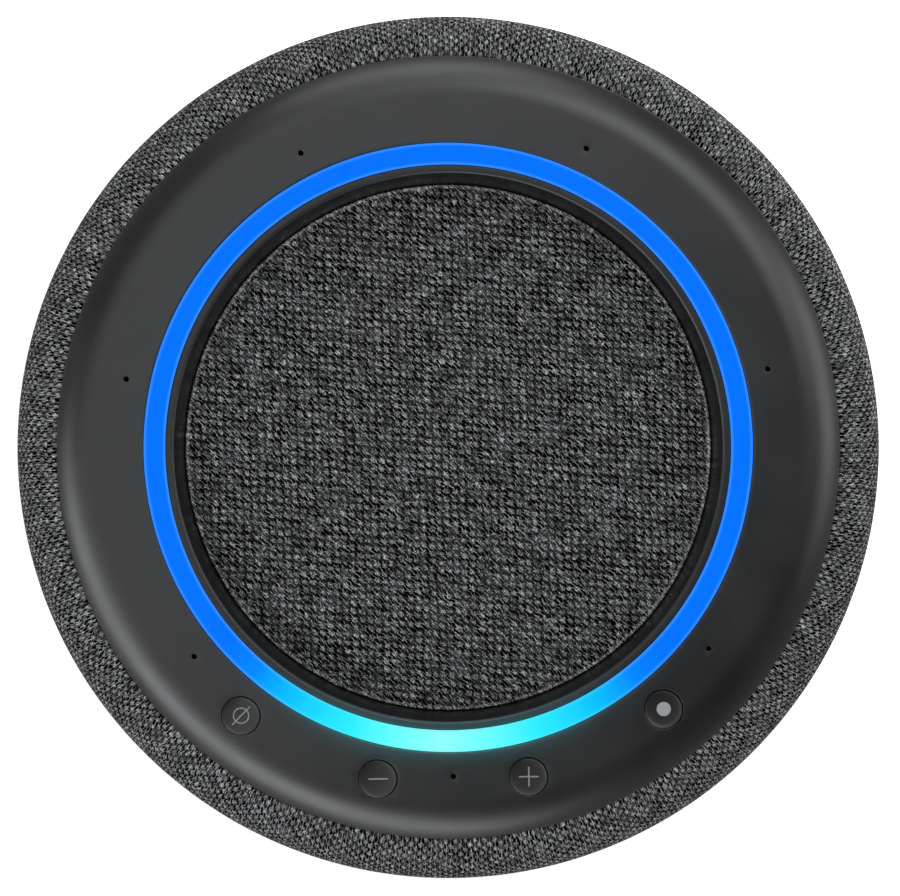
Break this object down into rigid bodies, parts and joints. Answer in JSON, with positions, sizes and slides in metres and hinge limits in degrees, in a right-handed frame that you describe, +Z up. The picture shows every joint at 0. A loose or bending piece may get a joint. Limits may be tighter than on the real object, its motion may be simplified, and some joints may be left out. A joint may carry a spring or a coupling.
{
  "type": "smart home hub",
  "caption": "Fabric-covered cylindrical smart speaker and home hub with a light ring, top keys and a bass aperture in its base.",
  "frame": {"origin": "centre of the circle that the foot ring stands on, at the bottom", "axes": "+Z up, -Y towards the front with the keys, +X to the right seen from the front"},
  "size_m": [0.175, 0.175, 0.206],
  "materials": {
    "fabric": "melange knit",
    "deck_plastic": "fine satin texture",
    "key_plastic": "fine satin texture",
    "light_guide": "translucent, lit",
    "lip_plastic": "satin",
    "dark_plastic": "matt",
    "foot_rubber": "matt",
    "surround_rubber": "semi-matt",
    "cone_paper": "pressed pulp",
    "dome_silk": "coated silk",
    "spider_cloth": "resin-dipped cloth",
    "steel": "plated",
    "frame_steel": "powder coat",
    "magnet": "ferrite and plated steel",
    "circuit_board": "solder mask",
    "component_black": "moulded",
    "component_shield": "tinned",
    "winding": "tape",
    "heat_sink": "extruded",
    "brass_pins": "plated",
    "ribbon": "polyimide film",
    "led_lens": "clear resin over white"
  },
  "bodies": {
    "housing": {"foot_ring": "foot_rubber", "bottom_cover": "dark_plastic", "base_shell": "dark_plastic", "port_panel": "dark_plastic", "mains_inlet": "dark_plastic", "mains_pins": "brass_pins", "audio_jack": "dark_plastic", "service_port": "steel", "power_board": "circuit_board", "transformer": "winding", "capacitors": "component_black", "left_pillar": "dark_plastic", "right_pillar": "dark_plastic", "aperture_trims": "dark_plastic", "woofer_baffle": "dark_plastic", "woofer_frame": "frame_steel", "woofer_magnet": "magnet", "woofer_surround": "surround_rubber", "woofer_spider": "spider_cloth", "left_driver_frame": "frame_steel", "left_driver_magnet": "magnet", "left_driver_surround": "surround_rubber", "right_driver_frame": "frame_steel", "right_driver_magnet": "magnet", "right_driver_surround": "surround_rubber", "top_driver_frame": "frame_steel", "top_driver_magnet": "magnet", "top_driver_surround": "surround_rubber", "tweeter_faceplate": "dark_plastic", "tweeter_magnet": "magnet", "inner_enclosure": "dark_plastic", "main_board": "circuit_board", "board_chips": "component_black", "heat_sink": "heat_sink", "ribbon_cable": "ribbon", "grille_shell": "dark_plastic", "fabric_sleeve": "fabric", "top_deck": "deck_plastic", "light_ring": "light_guide", "recess_wall": "lip_plastic", "top_grille": "dark_plastic", "top_fabric": "fabric", "top_board": "circuit_board", "ring_leds": "led_lens", "microphones": "component_shield", "button_switches": "component_shield", "base_screws": "steel", "woofer_screws": "steel", "driver_screws": "steel"},
    "woofer_diaphragm": {"woofer_cone": "cone_paper", "woofer_dust_cap": "cone_paper"},
    "left_diaphragm": {"left_driver_cone": "cone_paper"},
    "right_diaphragm": {"right_driver_cone": "cone_paper"},
    "top_diaphragm": {"top_driver_cone": "cone_paper"},
    "tweeter_diaphragm": {"tweeter_dome": "dome_silk"},
    "mute_key": {"button_mute": "key_plastic"},
    "volume_down_key": {"button_volume_down": "key_plastic"},
    "volume_up_key": {"button_volume_up": "key_plastic"},
    "action_key": {"button_action": "key_plastic"}
  },
  "joints": [
    {"name": "mute_press", "type": "slide", "parent": "housing", "child": "mute_key", "axis": [0, 0, -1], "range_m": [0, 0.0006], "stiffness_N_per_m": 600},
    {"name": "volume_down_press", "type": "slide", "parent": "housing", "child": "volume_down_key", "axis": [0, 0, -1], "range_m": [0, 0.0006], "stiffness_N_per_m": 600},
    {"name": "volume_up_press", "type": "slide", "parent": "housing", "child": "volume_up_key", "axis": [0, 0, -1], "range_m": [0, 0.0006], "stiffness_N_per_m": 600},
    {"name": "action_press", "type": "slide", "parent": "housing", "child": "action_key", "axis": [0, 0, -1], "range_m": [0, 0.0006], "stiffness_N_per_m": 600},
    {"name": "woofer_stroke", "type": "slide", "parent": "housing", "child": "woofer_diaphragm", "axis": [0, 0, -1], "range_m": [-0.005, 0.005], "stiffness_N_per_m": 1200, "deforming": ["woofer_surround", "woofer_spider"]},
    {"name": "left_driver_stroke", "type": "slide", "parent": "housing", "child": "left_diaphragm", "axis": [-1, 0, 0], "range_m": [-0.0015, 0.0015], "stiffness_N_per_m": 900, "deforming": ["left_driver_surround"]},
    {"name": "right_driver_stroke", "type": "slide", "parent": "housing", "child": "right_diaphragm", "axis": [1, 0, 0], "range_m": [-0.0015, 0.0015], "stiffness_N_per_m": 900, "deforming": ["right_driver_surround"]},
    {"name": "top_driver_stroke", "type": "slide", "parent": "housing", "child": "top_diaphragm", "axis": [0, 0, 1], "range_m": [-0.0015, 0.0015], "stiffness_N_per_m": 900, "deforming": ["top_driver_surround"]},
    {"name": "tweeter_stroke", "type": "slide", "parent": "housing", "child": "tweeter_diaphragm", "axis": [0, -1, 0], "range_m": [-0.0003, 0.0003], "stiffness_N_per_m": 1500}
  ]
}
